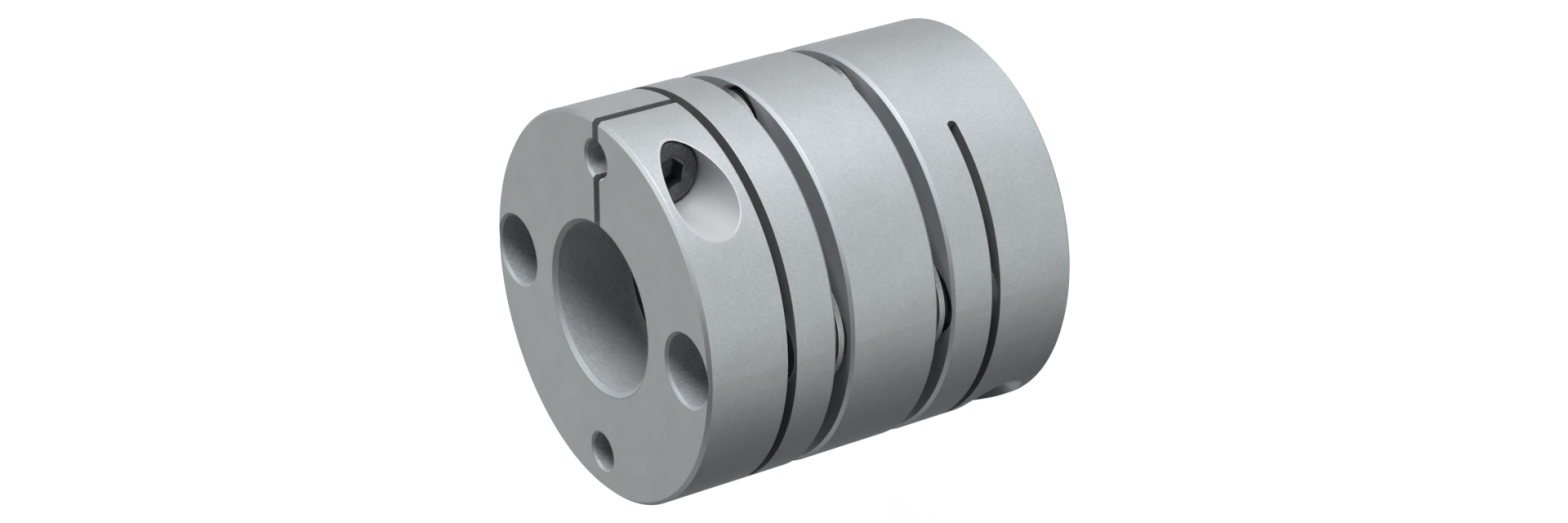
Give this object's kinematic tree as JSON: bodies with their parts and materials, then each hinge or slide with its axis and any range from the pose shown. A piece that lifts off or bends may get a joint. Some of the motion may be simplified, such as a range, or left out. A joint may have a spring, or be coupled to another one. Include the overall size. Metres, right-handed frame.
{
  "type": "disc coupling",
  "caption": "Disc coupling with slit clamping hubs at both ends, a spacer, and packs of thin steel leaves in the gaps, for joining shafts end to end.",
  "frame": {"origin": "centre of hub B's end face, on the coupling's axis, where the coupling stands", "axes": "+Z along the axis from hub B up to hub A, +Y through hub A's slit, +X on the side of the clamp screws' heads"},
  "size_m": [0.044, 0.044, 0.047],
  "materials": {
    "hub_aluminium": "satin, fine turned",
    "spacer_aluminium": "satin, fine turned",
    "black_screws": "black oxide",
    "leaf_steel": "bright rolled",
    "ring_steel": "turned"
  },
  "bodies": {
    "root": {"hub_a": "hub_aluminium", "hub_b": "hub_aluminium", "spacer": "spacer_aluminium", "clamp_screw_a": "black_screws", "clamp_screw_b": "black_screws", "pack_a_hub_screws": "black_screws", "pack_a_spacer_screws": "black_screws", "pack_b_hub_screws": "black_screws", "pack_b_spacer_screws": "black_screws", "pack_a_leaf_1": "leaf_steel", "pack_a_leaf_2": "leaf_steel", "pack_a_leaf_3": "leaf_steel", "pack_a_leaf_4": "leaf_steel", "pack_a_leaf_5": "leaf_steel", "pack_b_leaf_1": "leaf_steel", "pack_b_leaf_2": "leaf_steel", "pack_b_leaf_3": "leaf_steel", "pack_b_leaf_4": "leaf_steel", "pack_b_leaf_5": "leaf_steel", "pack_a_hub_collars": "ring_steel", "pack_a_spacer_collars": "ring_steel", "pack_b_hub_collars": "ring_steel", "pack_b_spacer_collars": "ring_steel", "pack_a_hub_washers": "ring_steel", "pack_a_spacer_washers": "ring_steel", "pack_b_hub_washers": "ring_steel", "pack_b_spacer_washers": "ring_steel"}
  },
  "joints": []
}
